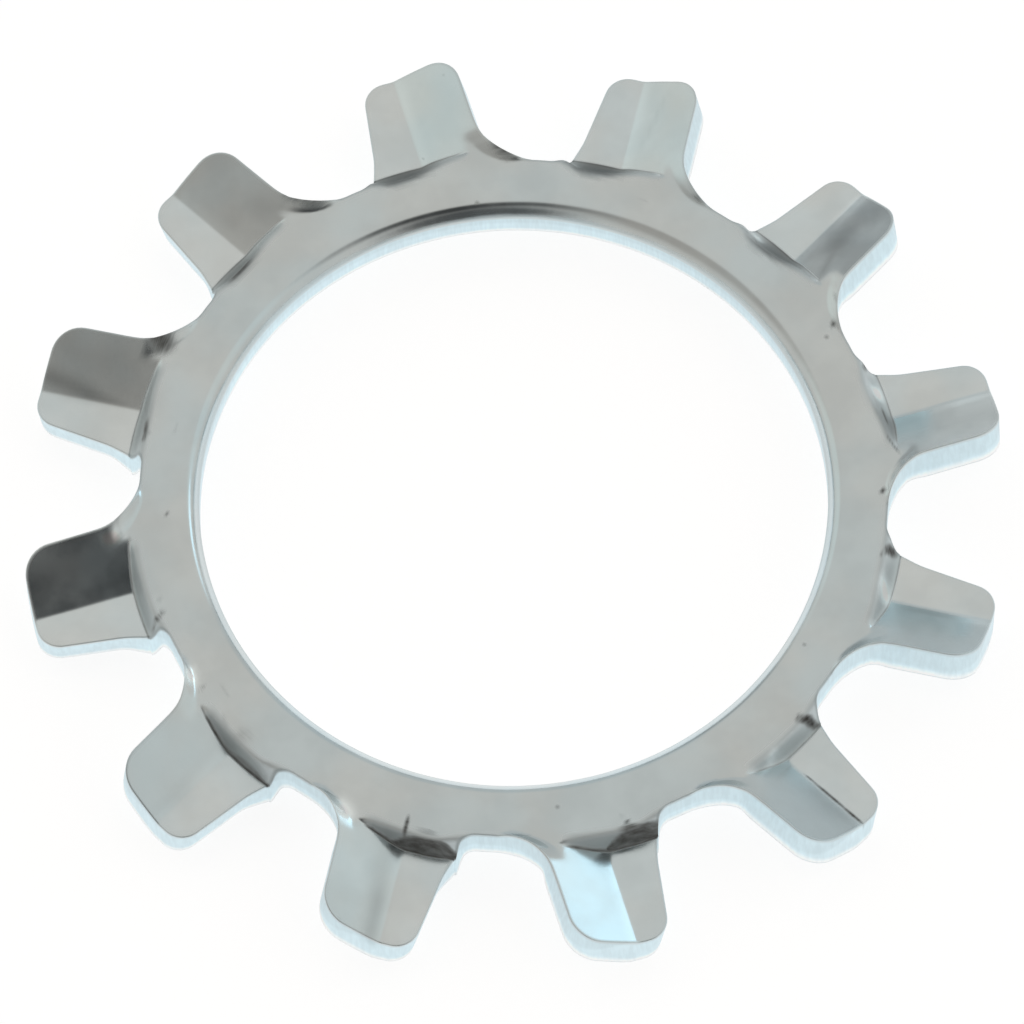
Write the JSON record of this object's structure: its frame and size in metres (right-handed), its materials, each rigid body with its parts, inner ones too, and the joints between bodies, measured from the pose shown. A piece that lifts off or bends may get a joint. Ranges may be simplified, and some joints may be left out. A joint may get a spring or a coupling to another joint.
{
  "type": "external tooth lock washer",
  "caption": "Flat ring stamped from one sheet of zinc-plated steel, with twisted teeth round its outer edge that bite under a screw head or nut.",
  "frame": {"origin": "on the axis of the bore, in the plane that the washer rests on", "axes": "+Z along the bore, towards the side that the teeth are twisted up to; +X along the centre line of one tooth"},
  "size_m": [0.033, 0.033, 0.0029],
  "materials": {
    "zinc_plated_steel": "bright zinc plating over stamped spring steel, finely mottled, with dark soil in the roots of the teeth"
  },
  "bodies": {
    "root": {"lock_washer": "zinc_plated_steel"}
  },
  "joints": []
}
